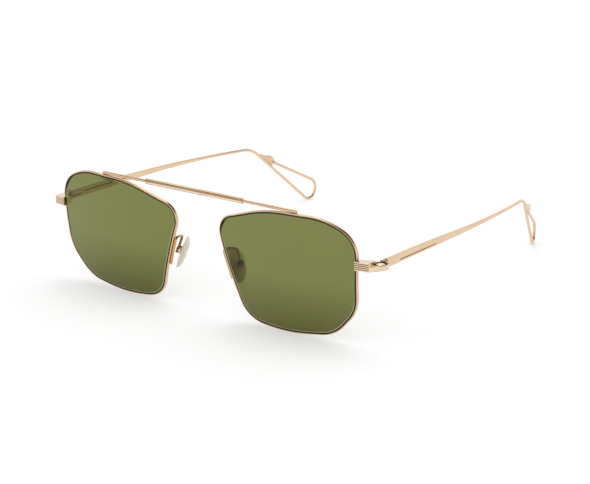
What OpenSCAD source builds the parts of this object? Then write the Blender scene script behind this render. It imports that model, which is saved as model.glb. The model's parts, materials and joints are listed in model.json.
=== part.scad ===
// Aviator sunglasses with a straight brow bar, rocking nose pads and folding wire temples.
// +X is the wearer's left, the front faces -Y, and the rims and tip loops stand on Z = 0.

/* [Lenses] */
// Widest part of each lens opening
lens_w = 53; // [48:0.5:58]
// Tallest part of each lens opening
lens_h = 42; // [38:0.2:46]
// Distance between the two lens openings across the nose
lens_gap = 19.4; // [18:0.1:24]
// Lens thickness
lens_t = 1.9; // [1.5:0.1:2.4]
// Radius of the lens curve
lens_r = 123; // [100:1:160]
// Turn of each lens towards the temple, in degrees
wrap = 2.7; // [0:0.1:5]
// Forward lean of the front when it stands on a table, in degrees
tilt = 6.8; // [4:0.1:10]

/* [Lens outline] */
// Drop of the inner brow corner below the top of the lens
brow_in_drop = 7.1; // [6:0.1:9]
// Reach of the inner brow corner past the lens side before it is rounded
brow_in_reach = 1.6; // [1:0.1:2.5]
// Radius of the inner brow corner
brow_in_r = 6.3; // [4:0.1:8]
// Inner end of the flat of the brow, from the lens centre
brow_flat_in = 6.7; // [5:0.1:9]
// Outer end of the flat of the brow, from the lens centre
brow_flat_out = 15.2; // [12:0.1:17]
// Drop of the outer brow corner below the top of the lens
brow_out_drop = 5.8; // [4:0.1:7]
// Reach of the outer brow corner past the lens side before it is rounded
brow_out_reach = 0.3; // [0.1:0.1:0.8]
// Radius of the outer brow corner
brow_out_r = 11; // [8:0.5:12]
// Height of the cheek corner above the bottom of the lens
cheek_up = 11.7; // [9:0.1:14]
// Distance of the cheek corner inside the outer side
cheek_in = 0.8; // [0.4:0.1:1.6]
// Distance of the jaw corner from the outer side
jaw_in = 9.6; // [7:0.1:12]
// Height of the jaw corner above the bottom of the lens
jaw_up = 1.8; // [1.2:0.1:2.6]
// Distance of the lowest point inward of the lens centre
chin_in = 1.3; // [0:0.1:3]
// Distance of the bottom nasal corner from the nasal side
nose_in = 9; // [7:0.1:11]
// Height of the bottom nasal corner above the bottom of the lens
nose_up = 1.3; // [0.8:0.1:2]
// Radius of the bottom nasal corner
nose_r = 9.5; // [7:0.5:11]
// Radius of the cheek and jaw corners
cheek_r = 13; // [8:0.5:15]

/* [Rims] */
// Width of the eyewire seen from the front
rim_w = 0.5; // [0.45:0.05:0.9]
// Depth of the eyewire from front to back
rim_d = 1.15; // [1:0.05:1.6]
// Height of the eyewire's front lip ahead of the lens face
rim_lip = 0.2; // [0.1:0.05:0.3]
// Depth of the lens groove in the eyewire
groove_d = 0.25; // [0.2:0.05:0.35]
// Width of the lens groove
groove_w = 0.5; // [0.4:0.05:0.6]
// Width of the cut that lets the eyewire open for the lens
split = 0.1; // [0.05:0.05:0.2]

/* [Brow bar] */
// Diameter of the bar
bar_d = 1.1; // [0.9:0.05:1.5]
// How far past each lens centre the bar reaches
bar_past = 5.4; // [3:0.1:8]
// Depth of the bar's axis behind the lens face
bar_back = 0.7; // [0.3:0.05:0.9]
// Braze depth of the bar's ends into the tops of the rims
bar_sink = 0.1; // [0.05:0.05:0.2]
// Radius of the bar's bow
bar_bow_r = 420; // [300:10:700]
// Lean of the bar's bow below level, in degrees
bar_lean = 20; // [0:1:30]
// Diameter of the sleeve on the middle of the bar
sleeve_d = 2; // [1.5:0.05:2.2]
// Length of the sleeve
sleeve_l = 41.4; // [30:0.2:48]

/* [End pieces] */
// Height of the end piece above the lens centre
block_up = 7.05; // [4:0.05:9]
// Width of the ribbed face beyond the lens opening
block_w = 4.9; // [4.4:0.1:5.6]
// Height of the ribbed face
block_h = 3.05; // [2.5:0.05:3.2]
// Depth of the block from front to back
block_d = 5.2; // [4.8:0.1:6]
// Thickness of the ribbed face ahead of the rim
block_face = 1.1; // [0.7:0.05:1.3]
// Sweep-back of the ribbed face, in degrees
block_sweep = 11; // [5:1:15]
// Number of ridges on the face
ribs = 5; // [3:1:6]
// Depth of the grooves between the ridges
rib_depth = 0.14; // [0.08:0.02:0.18]
// Diameter of the lock screw
lock_screw_d = 0.9; // [0.7:0.1:1]
// Diameter of the lock screw's head
lock_head_d = 1.5; // [1.3:0.1:1.6]
// Height of the lock screw's head
lock_head_h = 0.4; // [0.3:0.05:0.5]
// Lock screw outboard of the rim
lock_out = 1.6; // [1.2:0.1:1.8]
// Wall round the lock screw
lock_wall = 0.55; // [0.4:0.05:0.6]

/* [Hinges] */
// Hinge axis outboard of the rim
hinge_out = 5; // [4.6:0.1:5.5]
// Hinge axis behind the front of the rim
hinge_back = 6; // [5.6:0.1:6.6]
// Hinge middle below the middle of the block
hinge_down = 0.8; // [0.5:0.05:0.9]
// Diameter of the hinge drum
drum_d = 5.4; // [5:0.1:6]
// Height of the hinge drum
drum_h = 1.6; // [1.5:0.05:2]
// Wall of the drum in front of the temple's tongue
drum_wall = 0.55; // [0.4:0.05:0.7]
// Thickness of the temple's tongue in the drum
tongue_t = 0.55; // [0.45:0.05:0.6]
// Thickness of the tongue's plate on the temple
plate_t = 0.6; // [0.4:0.05:0.7]
// Height of the tongue's plate
plate_h = 2.2; // [1.8:0.1:2.6]
// Hinge axis to the rear end of the tongue's plate
plate_l = 9; // [7:0.5:12]
// Diameter of the hinge screw's shank
hinge_screw_d = 1.5; // [1.2:0.1:1.8]
// Diameter of the hinge screw's head
hinge_head_d = 4.2; // [3.6:0.1:4.4]
// Depth of the head's seat in the drum
head_sink = 0.25; // [0.2:0.01:0.28]
// Height of the head's edge
head_edge = 0.06; // [0.05:0.01:0.1]
// Height of the head's dome above its edge
head_dome = 0.1; // [0.05:0.05:0.15]
// Angle through which the temples fold, in degrees
fold = 82; // [60:1:84]

/* [Temples] */
// Height of the temple at the hinge
temple_h = 3.1; // [2.6:0.1:3.6]
// Thickness of the temple at the hinge
temple_t = 1.1; // [0.9:0.05:1.4]
// Straight run from the hinge axis
temple_straight = 43; // [30:1:55]
// Hinge axis to the bend over the ear
temple_l = 103; // [96:0.5:112]
// Radius of the temple's inward bow
temple_bow_r = 325; // [250:5:500]
// Radius of the temple's droop
temple_droop_r = 2050; // [1700:50:4000]
// Height of the temple above the middle of the hinge
temple_up = 0.25; // [0.1:0.05:0.5]
// Diameter of the temple's wire tip
wire_d = 1.15; // [0.8:0.05:1.25]
// Radius of the bend over the ear
ear_r = 10.5; // [6:0.5:13]

/* [Tip loops] */
// Inward turn of the tip, in degrees
tip_turn = 20; // [14:0.2:26]
// Reach of the loop's bottom corner behind the bend
loop_low_reach = 29.4; // [27:0.1:31]
// Reach of the loop's rear corner behind the bend
loop_rear_reach = 32.5; // [31:0.1:36]
// Height of the loop's rear corner above the table
loop_rear_up = 7; // [6:0.1:9]
// Radius of the loop's bottom
loop_low_r = 2.9; // [2:0.1:3.2]
// Radius of the loop's rear corner
loop_rear_r = 4.3; // [3:0.1:4.5]
// Reach of the loop's closed end behind the bend
loop_end_reach = 11.3; // [10.5:0.1:12.5]
// Drop of the loop's closed end below the bend
loop_end_drop = 7.4; // [7:0.1:7.8]
// Thickness of the tab that closes the loop
tab_t = 0.7; // [0.5:0.05:0.9]
// Distance along the wire from the bend to the tab
tab_start = 5; // [4:0.1:6.5]
// Distance along the wire from the tab's start to its hump
tab_hump = 5.7; // [5:0.1:6.2]
// Height of the tab's hump above the wire's axis
tab_h = 3.9; // [3.2:0.1:4.2]

/* [Nose pads] */
// Length of the pad
pad_l = 12.4; // [11:0.1:14]
// Width of the pad
pad_w = 6.4; // [6:0.1:8]
// Thickness of the pad
pad_t = 1.9; // [1.4:0.1:2.2]
// Distance of the pad's middle ahead of the middle of its screw
pad_shift = 0.6; // [0:0.1:1]
// Height of the pad screw below the lens centre
pad_down = 2.5; // [0:0.1:5]
// Pad screw outboard of the rim's nasal side
pad_out = 0.65; // [0.4:0.05:1.4]
// Pad screw behind the front of the rim
pad_back = 6; // [5.6:0.1:7]
// Lean of the pad from upright, seen from the front, in degrees
pad_lean = 19; // [12:1:25]
// Lean of the pad's top to the rear, in degrees
pad_pitch = 6; // [0:1:12]
// Turn of the pad from straight back, in degrees
pad_splay = 27; // [20:1:35]
// Diameter of the pad screw
pad_screw_d = 0.8; // [0.6:0.1:0.9]
// Diameter of the pad screw's head
pad_head_d = 1.5; // [1.2:0.1:1.7]
// Height of the pad screw's head
pad_head_h = 0.35; // [0.25:0.05:0.5]
// Thickness of the core's lug in the pad box
lug_t = 1.1; // [0.9:0.05:1.3]
// Radius of the core's lug
lug_r = 0.62; // [0.6:0.01:0.65]
// Pad screw to the back of the pad
lug_l = 0.9; // [0.85:0.05:1.2]
// Thickness of the core's plate inside the pad
core_t = 0.4; // [0.3:0.05:0.5]
// Length of the core's plate
core_l = 7; // [5:0.5:8]
// Width of the core's plate
core_w = 3.4; // [2.6:0.1:3.8]
// Wall of the pad box
box_wall = 0.4; // [0.3:0.05:0.5]
// Height of the pad box
box_h = 2.2; // [2:0.1:2.4]
// Pad screw to the nose side of the pad box
box_front = 0.65; // [0.62:0.01:0.66]
// Pad screw to the rim side of the pad box
box_back = 1.1; // [1.05:0.05:1.4]
// Diameter of the pad arm's wire
arm_d = 0.9; // [0.8:0.05:1]
// Length of the pad arm's foot along the rim
arm_foot = 6.5; // [6:0.5:9]
// Top of the pad arm's foot above the pad screw
arm_foot_up = 2.5; // [2:0.1:3]
// Top of the pad arm's hairpin above the pad screw
arm_up = 5.7; // [5.2:0.1:6.4]

/* [Fits] */
// Gap between brazed or clamped pieces
seat = 0.03; // [0.02:0.01:0.05]
// Running gap at the hinges and the pad screws
run = 0.05; // [0.03:0.01:0.08]
// Gap between the temple and the drum that it swings round
swing = 0.3; // [0.2:0.05:0.4]
// Width of the screwdriver slots
slot_w = 0.2; // [0.1:0.05:0.25]

/* [Hidden] */
gold = [0.83, 0.70, 0.54];
pale_gold = [0.88, 0.77, 0.63];
ivory = [0.86, 0.80, 0.68];
green = [0.47, 0.50, 0.30, 0.75];
half_w = lens_w / 2;
half_h = lens_h / 2;
lens_x = (lens_gap + lens_w) / 2;
brow_flat_in_r = 48;
brow_flat_out_r = 24;
chin_r = 65;
chin_drop = 0.4;

// Corners of the left lens before rounding, anticlockwise from its centre: outward, up, radius
lens_corners = [
    [nose_in - half_w, nose_up - half_h, nose_r],
    [-chin_in, -half_h - chin_drop, chin_r],
    [half_w - jaw_in, jaw_up - half_h, cheek_r],
    [half_w - cheek_in, cheek_up - half_h, cheek_r],
    [half_w + brow_out_reach, half_h - brow_out_drop, brow_out_r],
    [brow_flat_out, half_h, brow_flat_out_r],
    [-brow_flat_in, half_h, brow_flat_in_r],
    [-half_w - brow_in_reach, half_h - brow_in_drop, brow_in_r]
];
corner_step = 7;
wire_step = 12;
arm_step = 20;

function unit(v) = v / norm(v);
function flat(v) = [v.x, v.y];

// Unit vector a share f of the way round the arc from s to t
function arc_dir(s, t, f) =
    let (o = acos(s * t))
    (s * sin((1 - f) * o) + t * sin(f * o)) / sin(o);

// Arc of radius r, or as large as fits, that rounds corner p between a and b, grown outwards by d
function corner_arc(a, p, b, r, d = 0, step = corner_step) =
    let (
        e = unit(a - p),
        f = unit(b - p),
        half = acos(e * f) / 2,
        room = 0.49 * min(norm(a - p), norm(b - p)),
        q = min(r, room * tan(half)),
        c = p + unit(e + f) * q / sin(half),
        s = unit(p + e * q / tan(half) - c),
        t = unit(p + f * q / tan(half) - c),
        n = max(2, ceil((180 - 2 * half) / step))
    )
    [for (i = [0:n]) c + (q + d) * arc_dir(s, t, i / n)];

// Outline of the left lens opening, grown outwards by d
function lens_outline(d) =
    let (k = lens_corners, n = len(k))
    [for (i = [0:n - 1])
        each corner_arc(flat(k[(i + n - 1) % n]), flat(k[i]), flat(k[(i + 1) % n]), k[i].z, d)];

// Point on the left lens, from the lens datum: outward, up, depth behind the lens face
function lens_point(u, v, depth) =
    let (
        sag = lens_r - sqrt(pow(lens_r - depth, 2) - u * u - v * v),
        y = u * sin(wrap) + sag * cos(wrap)
    )
    [
        lens_x + u * cos(wrap) - sag * sin(wrap),
        y * cos(tilt) - v * sin(tilt),
        y * sin(tilt) + v * cos(tilt)
    ];

// Outward place of the lens side from corner i to corner j at height v, moved outwards by out
function side_u(i, j, v, out) =
    let (
        a = flat(lens_corners[i]),
        e = unit(flat(lens_corners[j]) - a)
    )
    a.x + ((v - a.y) * e.x + out) / e.y;
function temporal_u(v, out) = side_u(3, 4, v, out);
function nasal_u(v, out) = side_u(7, 0, v, out);

// The rims' lowest points touch the table
datum_z = -min([for (p = lens_outline(rim_w)) lens_point(p.x, p.y, -rim_lip).z]);
groove_front = (rim_d - groove_w) / 2 - rim_lip;

// End piece, from the lens datum: the rim's outer wall at the block's height
rim_side = lens_point(temporal_u(block_up, rim_w), block_up, -rim_lip);
block_x0 = rim_side.x - rim_w;
block_x1 = block_x0 + block_w;
block_y0 = rim_side.y - block_face;
block_y1 = block_y0 + block_d;
block_z0 = rim_side.z - block_h / 2;
block_run = block_w * tan(block_sweep);
hinge = rim_side + [hinge_out, hinge_back, -hinge_down];
drum_r = drum_d / 2;
slot_h = tongue_t + 2 * run;
tongue_r = drum_r - drum_wall;
plate_x = temple_t / 2 + seat + plate_t;
lock = [rim_side.x + lock_out, (rim_side.y + block_y1) / 2, block_z0];
lock_half = lock_screw_d / 2 + lock_wall;

// Temple centreline from the lens datum, by distance behind the hinge axis
function temple_point(l) = hinge + [
    -pow(max(0, l - temple_straight), 2) / (2 * temple_bow_r),
    l,
    temple_up - l * l / (2 * temple_droop_r)
];
temple_start = drum_r + swing;
bend = temple_point(temple_l);
wire_r = wire_d / 2;

// Point in the plane of the tip: distance behind the bend, height from the lens datum
function tip_point(s, z) = [bend.x - s * sin(tip_turn), bend.y + s * cos(tip_turn), z];
loop_rear = tip_point(loop_rear_reach, loop_rear_up - datum_z);
loop_end = tip_point(loop_end_reach, bend.z - loop_end_drop);

// Loop's bottom corner, lowered in two steps until its wire touches the table
function loop_low_arc(z) =
    corner_arc(bend, tip_point(loop_low_reach, z), loop_rear, loop_low_r, 0, wire_step);
function loop_clear(z) = min([for (p = loop_low_arc(z)) p.z]) + datum_z - wire_r;
low_first = -datum_z;
low_second = low_first - loop_clear(low_first);
loop_low = tip_point(loop_low_reach, low_second - loop_clear(low_second));

strip_steps = 11;
strip_end = temple_l - ear_r;
strip_step = (strip_end - temple_start) / strip_steps;
strip_path = [for (i = [0:strip_steps]) temple_point(temple_start + strip_step * i)];
tip_path = concat(
    corner_arc(strip_path[strip_steps], bend, loop_low, ear_r),
    corner_arc(bend, loop_low, loop_rear, loop_low_r, 0, wire_step),
    corner_arc(loop_low, loop_rear, loop_end, loop_rear_r, 0, wire_step),
    [loop_end]
);
temple_path = concat(strip_path, tip_path);

// Brow bar: its ends rest on the tops of the rims
bar_r = bar_d / 2;
bar_tip = lens_point(bar_past, half_h + rim_w + bar_r - bar_sink, bar_back);
bar_half = asin(bar_tip.x / bar_bow_r);
bar_sag = bar_bow_r * (1 - cos(bar_half));
bar_mid = [0, bar_tip.y - bar_sag * cos(bar_lean), bar_tip.z + bar_sag * sin(bar_lean)];
sleeve_half = asin(sleeve_l / 2 / bar_bow_r);

// The middle of the depth lies over the origin
loop_back = max([for (p = tip_path) p.y]) + wire_r;
datum_y = -(bar_mid.y - sleeve_d / 2 + loop_back) / 2;

// Nose pad: the pad rocks on the pad screw
pad_rim = lens_point(nasal_u(-pad_down, rim_w), -pad_down, -rim_lip);
pad_axis = pad_rim + [pad_out, pad_back, 0];
box_w = lug_t + 2 * run + 2 * box_wall;
arm_r = arm_d / 2;

// Ring of n points round a path point, with half sizes a across and b up, and squareness m
function ring(p, dir, across, a, b, m, n) =
    let (
        x = unit(across - (across * dir) * dir),
        y = cross(x, dir)
    )
    [for (i = [0:n - 1])
        let (t = (i + 0.5) * 360 / n, c = cos(t), s = sin(t))
        p + x * a * sign(c) * pow(abs(c), m) - y * b * sign(s) * pow(abs(s), m)];

// Direction of a path at its point i
function path_dir(path, i) = unit(path[min(i + 1, len(path) - 1)] - path[max(i - 1, 0)]);

// Closed tube through rings of n points
module tube(rings, n) {
    last = len(rings) - 1;
    polyhedron(
        [for (r = rings) each r],
        concat(
            [[for (i = [0:n - 1]) n - 1 - i]],
            [for (k = [0:last - 1], i = [0:n - 1])
                let (j = (i + 1) % n, a = k * n, b = a + n)
                each [[a + i, a + j, b + j], [a + i, b + j, b + i]]],
            [[for (i = [0:n - 1]) last * n + i]]
        )
    );
}

// The left side as written, and the right side as its mirror image
module side(s) {
    translate([0, datum_y, datum_z])
        mirror([s < 0 ? 1 : 0, 0, 0])
            children();
}

// Frame of the left lens: X outward, Y behind the lens face, Z up
module lens_frame() {
    rotate([tilt, 0, 0])
        translate([lens_x, 0, 0])
            rotate([0, 0, wrap])
                children();
}

// Everything behind the lens face's sphere, moved back by depth
module ball(depth) {
    translate([0, lens_r, 0])
        sphere(lens_r - depth, $fn = 240);
}

// Prism of the lens outline grown by d, from ahead of the lens to behind it
module prism(d) {
    ahead = 8;
    behind = 16;
    translate([0, behind, 0])
        rotate([90, 0, 0])
            linear_extrude(ahead + behind)
                polygon(lens_outline(d));
}

// Plate that follows the lens curve between two depths
module curved_plate(d, front, back) {
    difference() {
        intersection() {
            prism(d);
            ball(front);
        }
        ball(back);
    }
}

module lens(s) {
    color(green)
        side(s) lens_frame() {
            curved_plate(-seat, 0, lens_t);
            curved_plate(groove_d - run, groove_front + run, groove_front + groove_w - run);
        }
}

module rim(s) {
    past = 2;
    color(gold)
        side(s) difference() {
            lens_frame() difference() {
                curved_plate(rim_w, -rim_lip, rim_d - rim_lip);
                prism(0);
                curved_plate(groove_d, groove_front, groove_front + groove_w);
            }
            translate(rim_side)
                cube([2 * (rim_w + past), 2 * (rim_d + past), split], center = true);
        }
}

// Sweep along the brow bar's bow, between equal angles either side of the middle
module bow(half) {
    translate(bar_mid)
        rotate([-bar_lean, 0, 0])
            translate([0, bar_bow_r, 0])
                rotate([0, 0, 270 - half])
                    rotate_extrude(angle = 2 * half, $fn = 720)
                        translate([bar_bow_r, 0])
                            children();
}

module brow_bar() {
    color(gold)
        side(1) difference() {
            bow(bar_half) circle(bar_r, $fn = 32);
            for (m = [0, 1])
                mirror([m, 0, 0])
                    lens_frame() prism(rim_w + seat);
        }
}

module brow_sleeve() {
    color(pale_gold)
        side(1) bow(sleeve_half) difference() {
            circle(sleeve_d / 2, $fn = 32);
            circle(bar_r + seat, $fn = 32);
        }
}

// Volume behind the rim's front lip, which the rim and the lens fill
module rim_space() {
    lens_frame() intersection() {
        prism(rim_w + seat);
        ball(-rim_lip - seat);
    }
}

module block_outline() {
    polygon([
        [block_x0, block_y0],
        [block_x1, block_y0 + block_run],
        [block_x1, block_y1],
        [block_x0, block_y1]
    ]);
}

// Sector of the hinge slot that the tongue's web sweeps, from open to folded
module tongue_sweep() {
    spare = 4;
    steps = 6;
    reach = 2 * drum_r;
    open = 90 + asin((plate_x - plate_t) / drum_r) - spare;
    folded = 90 + asin(plate_x / tongue_r) + fold + spare;
    polygon(concat(
        [[0, 0]],
        [for (i = [0:steps]) let (t = open + (folded - open) * i / steps) reach * [cos(t), sin(t)]]
    ));
}

// Wall that runs from the block's outer side into the drum
module drum_blend() {
    wall = 0.4;
    wall_l = block_y1 - block_y0 - block_run;
    slim = 0.1;
    hull() {
        translate([block_x1 - wall, block_y0 + block_run, block_z0])
            cube([wall, wall_l, hinge.z + drum_h / 2 - block_z0]);
        translate(hinge - [0, 0, drum_h / 2])
            cylinder(drum_h, d = drum_d - slim, $fn = 32);
    }
}

module end_piece(s) {
    pitch = block_h / ribs;
    over = 1;
    color(pale_gold)
        side(s) difference() {
            union() {
                translate([0, 0, block_z0])
                    linear_extrude(block_h)
                        block_outline();
                drum_blend();
                translate(hinge - [0, 0, drum_h / 2])
                    cylinder(drum_h, d = drum_d, $fn = 64);
            }
            rim_space();
            // Grooves between the ridges of the face
            for (i = [1:ribs - 1])
                translate([block_x0, block_y0, block_z0 + i * pitch])
                    rotate([0, 90, block_sweep])
                        translate([0, 0, -over])
                            cylinder(block_w + 3 * over, r = rib_depth, $fn = 24);
            // Pocket for the lower half of the rim lock, and the hole for its screw
            translate([rim_side.x - over, lock.y - lock_half - seat, block_z0 - over])
                cube([lock_out + lock_half + over + seat, 2 * (lock_half + seat), block_h / 2 + over]);
            translate(lock)
                cylinder(2 * block_h, d = lock_screw_d + 2 * seat, $fn = 32);
            // Slot for the tongue
            translate(hinge - [0, 0, slot_h / 2]) {
                cylinder(slot_h, r = tongue_r + 2 * run, $fn = 64);
                linear_extrude(slot_h) tongue_sweep();
            }
            // Screw bore and the seat of its head
            translate(hinge - [0, 0, drum_h])
                cylinder(2 * drum_h, d = hinge_screw_d + 2 * seat, $fn = 48);
            translate(hinge + [0, 0, drum_h / 2 - head_sink])
                cylinder(drum_h, d = hinge_head_d + 2 * run, $fn = 64);
        }
}

module lock_block(s) {
    over = 1;
    color(gold)
        side(s) difference() {
            translate([rim_side.x - over, lock.y - lock_half, block_z0])
                cube([lock_out + lock_half + over, 2 * lock_half, (block_h - split) / 2]);
            rim_space();
            translate(lock - [0, 0, over])
                cylinder(block_h, d = lock_screw_d + 2 * seat, $fn = 32);
            translate(lock - [0, 0, over])
                cylinder(over + lock_head_h, d = lock_head_d + 2 * seat, $fn = 32);
        }
}

// Cut across a screw's head, at the origin
module driver_slot(d) {
    cube([2 * d, slot_w, slot_w], center = true);
}

module lock_screw(s) {
    color(gold)
        side(s) translate(lock) difference() {
            union() {
                cylinder(block_h, d = lock_screw_d, $fn = 32);
                cylinder(lock_head_h - seat, d = lock_head_d, $fn = 32);
            }
            driver_slot(lock_head_d);
        }
}

module hinge_screw(s) {
    shank_r = hinge_screw_d / 2;
    head_r = hinge_head_d / 2;
    head_z = drum_h / 2 - head_sink + seat;
    steps = 5;
    color(pale_gold)
        side(s) translate(hinge)
            rotate_extrude($fn = 64)
                polygon(concat(
                    [[0, -drum_h / 2], [shank_r, -drum_h / 2], [shank_r, head_z], [head_r, head_z]],
                    [for (i = [0:steps])
                        let (r = 1 - i / steps)
                        [head_r * r, head_z + head_edge + head_dome * (1 - r * r)]]
                ));
}

module hinge_tongue(s) {
    color(gold)
        side(s) translate(hinge) difference() {
            union() {
                translate([0, 0, -tongue_t / 2])
                    cylinder(tongue_t, r = tongue_r, $fn = 64);
                translate([-plate_x, 0, -tongue_t / 2])
                    cube([plate_t, plate_l, tongue_t]);
                translate([-plate_x, temple_start, temple_up - plate_h / 2])
                    cube([plate_t, plate_l - temple_start, plate_h]);
            }
            translate([0, 0, -tongue_t])
                cylinder(2 * tongue_t, d = hinge_screw_d + 2 * run, $fn = 48);
        }
}

// Half thickness, half height and squareness of the temple at point i of its path
function temple_section(i) =
    let (
        f = (1 - cos(180 * min(1, i / strip_steps))) / 2,
        square_corner = 0.35
    )
    [
        temple_t / 2 + (wire_r - temple_t / 2) * f,
        temple_h / 2 + (wire_r - temple_h / 2) * f,
        square_corner + (1 - square_corner) * f
    ];

module temple(s) {
    sides = 12;
    tip_across = [cos(tip_turn), sin(tip_turn), 0];
    color(gold)
        side(s) tube([
            for (i = [0:len(temple_path) - 1])
                let (
                    t = temple_section(i),
                    dir = i == 0 ? [0, 1, 0] : path_dir(temple_path, i),
                    across = i > strip_steps ? tip_across : [1, 0, 0]
                )
                ring(temple_path[i], dir, across, t.x, t.y, t.z, sides)
        ], sides);
}

// Outline of the tab in the plane of the tip: behind the bend, height from the lens datum
function tab_outline() =
    let (
        dip_share = 0.45,
        start = [0, bend.z],
        wire = unit([loop_low_reach, loop_low.z - bend.z]),
        up = [-wire.y, wire.x],
        edge = wire_r + seat,
        end = [loop_end_reach, loop_end.z],
        end_wire = unit([loop_rear_reach, loop_rear.z] - end),
        end_up = [-end_wire.y, end_wire.x] * wire_r,
        end_at = (end - start) * wire,
        root = start + wire * tab_start + up * edge,
        step = root + up * wire_r / 2,
        dip = start + wire * (tab_start + tab_hump * dip_share) + up * tab_h / 2,
        hump = start + wire * (tab_start + tab_hump) + up * tab_h,
        shoulder = end - end_wire * seat + end_up,
        jaw = end - end_wire * seat - end_up,
        apex = start + wire * (end_at - wire_r) + up * (wire_r * 2),
        heel = start + wire * end_at + up * edge
    )
    concat(
        [root, step],
        corner_arc(step, dip, hump, 2 * tab_h),
        corner_arc(dip, hump, shoulder, tab_h / 2),
        [shoulder, jaw],
        corner_arc(jaw, apex, heel, wire_r),
        [heel]
    );

module loop_tab(s) {
    color(gold)
        side(s) translate([bend.x, bend.y, 0])
            rotate([0, 0, tip_turn])
                translate([-tab_t / 2, 0, 0])
                    rotate([90, 0, 90])
                        linear_extrude(tab_t)
                            polygon(tab_outline());
}

// Vector of the pad's frame turned into the part's frame
function pad_turn(v) =
    let (
        a = [v.x * cos(pad_splay) + v.y * sin(pad_splay), v.y * cos(pad_splay) - v.x * sin(pad_splay), v.z],
        b = [a.x * cos(pad_lean) - a.z * sin(pad_lean), a.y, a.x * sin(pad_lean) + a.z * cos(pad_lean)]
    )
    [b.x, b.y * cos(pad_pitch) + b.z * sin(pad_pitch), b.z * cos(pad_pitch) - b.y * sin(pad_pitch)];

// Points along the pad arm's wire: up the rim, over a hairpin and down to the pad box
function arm_path() =
    let (
        rise_back = 0.3,
        turn_r = 1.4 * arm_d,
        out = rim_w + arm_r + seat,
        depth = rim_d - rim_lip - arm_r,
        foot_v = arm_foot_up - pad_down,
        foot0 = lens_point(nasal_u(foot_v - arm_foot, out), foot_v - arm_foot, depth),
        foot1 = lens_point(nasal_u(foot_v, out), foot_v, depth),
        end = pad_axis + pad_turn([box_back - arm_r, 0, box_h / 2 + seat]),
        up = pad_turn([0, 0, 1]),
        reach = end.y - foot1.y,
        top_z = pad_axis.z + arm_up - arm_r,
        top_v = foot_v + arm_up - arm_foot_up,
        top1 = [
            lens_point(nasal_u(top_v, out), top_v, depth).x,
            foot1.y + reach * rise_back,
            top_z
        ],
        top2 = end + up * (top_z - end.z) / up.z
    )
    concat(
        [foot0],
        corner_arc(foot0, foot1, top1, 2 * arm_d, 0, arm_step),
        corner_arc(foot1, top1, top2, turn_r, 0, arm_step),
        corner_arc(top1, top2, end, turn_r, 0, arm_step),
        [end]
    );

module pad_arm(s) {
    path = arm_path();
    sides = 8;
    across = [cos(pad_splay), -sin(pad_splay), 0];
    color(gold)
        side(s) tube([
            for (i = [0:len(path) - 1])
                ring(path[i], path_dir(path, i), across, arm_r, arm_r, 1, sides)
        ], sides);
}

// Frame of the left pad: X away from the nose, Y along the pad screw, Z up the pad
module pad_frame(s) {
    side(s)
        translate(pad_axis)
            rotate([-pad_pitch, 0, 0])
                rotate([0, -pad_lean, 0])
                    rotate([0, 0, -pad_splay])
                        children();
}

module pad_box(s) {
    color(gold)
        pad_frame(s) difference() {
            translate([-box_front, -box_w / 2, -box_h / 2])
                cube([box_back + box_front, box_w, box_h]);
            translate([-2 * box_front, -lug_t / 2 - run, -box_h])
                cube([2 * box_front + box_back - box_wall, lug_t + 2 * run, 2 * box_h]);
            rotate([90, 0, 0])
                cylinder(2 * box_w, d = pad_screw_d + 2 * seat, center = true, $fn = 32);
        }
}

module pad_screw(s) {
    color(pale_gold)
        pad_frame(s) rotate([90, 0, 0]) difference() {
            union() {
                translate([0, 0, -box_w / 2])
                    cylinder(box_w + seat, d = pad_screw_d, $fn = 32);
                translate([0, 0, box_w / 2 + seat])
                    cylinder(pad_head_h, d = pad_head_d, $fn = 32);
            }
            translate([0, 0, box_w / 2 + seat + pad_head_h])
                driver_slot(pad_head_d);
        }
}

// Plate of the core inside the pad, grown by d on every side
module core_plate(d) {
    translate([-lug_l - core_t - d, -pad_shift - core_w / 2 - d, -core_l / 2 - d])
        cube([core_t + 2 * d, core_w + 2 * d, core_l + 2 * d]);
}

module pad_core(s) {
    color(ivory)
        pad_frame(s) difference() {
            union() {
                rotate([90, 0, 0])
                    cylinder(lug_t, r = lug_r, center = true, $fn = 48);
                translate([-lug_l - core_t / 2, -lug_t / 2, -lug_r])
                    cube([lug_l + core_t / 2, lug_t, 2 * lug_r]);
                core_plate(0);
            }
            rotate([90, 0, 0])
                cylinder(3 * lug_t, d = pad_screw_d + 2 * run, center = true, $fn = 32);
        }
}

// Oval pad: flat towards the core, domed towards the nose, with a pocket for the core's plate
module nose_pad(s) {
    sides = 24;
    layers = 6;
    edge_share = 0.9;
    blunt_share = 0.08;
    dome_power = 2.6;
    color(ivory)
        pad_frame(s) difference() {
            tube([
                for (k = [0:layers])
                    let (
                        f = k / layers,
                        grow = k == 0 ? edge_share : sqrt(1 - pow(f, dome_power)) + blunt_share * f
                    )
                    [for (i = [0:sides - 1])
                        let (t = i * 360 / sides)
                        [
                            -lug_l - pad_t * f,
                            grow * pad_w / 2 * sin(t) - pad_shift,
                            grow * pad_l / 2 * cos(t)
                        ]]
            ], sides);
            core_plate(seat);
        }
}

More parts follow.
